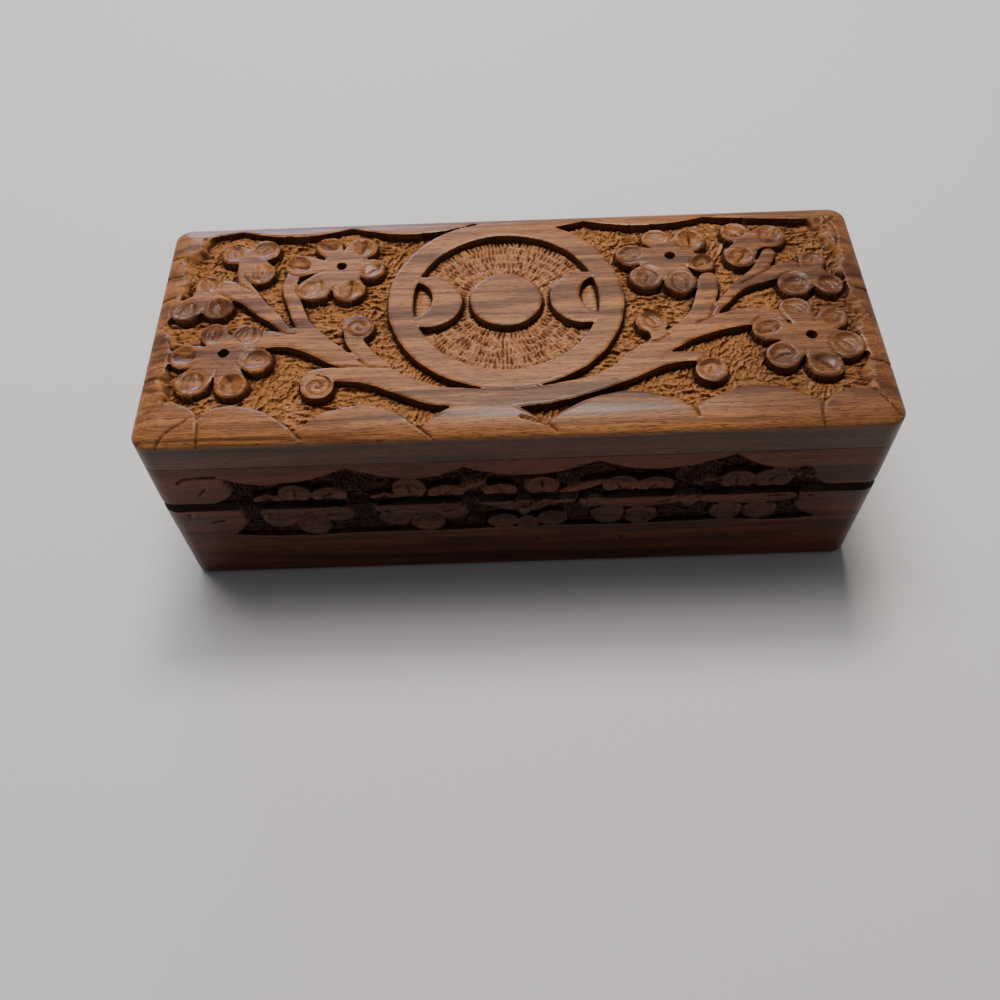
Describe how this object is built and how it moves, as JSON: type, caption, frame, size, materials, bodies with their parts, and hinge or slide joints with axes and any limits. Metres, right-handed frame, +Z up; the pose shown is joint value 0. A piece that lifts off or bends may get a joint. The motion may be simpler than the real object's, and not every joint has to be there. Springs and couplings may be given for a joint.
{
  "type": "trinket box",
  "caption": "Long wooden trinket box with a hinged lid, relief carved flowers, vines and a ring of moons on top, and a carved flower band along the seam.",
  "frame": {"origin": "centre of the underside, where the closed box stands", "axes": "+Z up, X along the length, the front looks along -Y and the hinges are on the +Y side"},
  "size_m": [0.203, 0.084, 0.0677],
  "materials": {
    "lid_top_wood": "oiled",
    "lid_side_wood": "oiled",
    "base_wood": "oiled",
    "hinge_brass": "satin",
    "screw_brass": "satin"
  },
  "bodies": {
    "base": {"base_front_board": "base_wood", "base_back_board": "base_wood", "base_left_end": "base_wood", "base_right_end": "base_wood", "base_floor_panel": "base_wood", "hinge_left_base_leaf": "hinge_brass", "hinge_left_pin": "hinge_brass", "hinge_left_base_screw_1": "screw_brass", "hinge_left_base_screw_2": "screw_brass", "hinge_right_base_leaf": "hinge_brass", "hinge_right_pin": "hinge_brass", "hinge_right_base_screw_1": "screw_brass", "hinge_right_base_screw_2": "screw_brass"},
    "lid": {"lid_top_panel": "lid_top_wood", "lid_front_rail": "lid_side_wood", "lid_back_rail": "lid_side_wood", "lid_left_rail": "lid_side_wood", "lid_right_rail": "lid_side_wood", "hinge_left_lid_leaf": "hinge_brass", "hinge_left_lid_screw_1": "screw_brass", "hinge_left_lid_screw_2": "screw_brass", "hinge_right_lid_leaf": "hinge_brass", "hinge_right_lid_screw_1": "screw_brass", "hinge_right_lid_screw_2": "screw_brass"}
  },
  "joints": [
    {"name": "lid_hinge", "type": "hinge", "parent": "base", "child": "lid", "pos_m": [0, 0.0405, 0.03765], "axis": [-1, 0, 0], "range_deg": [0, 100]}
  ]
}
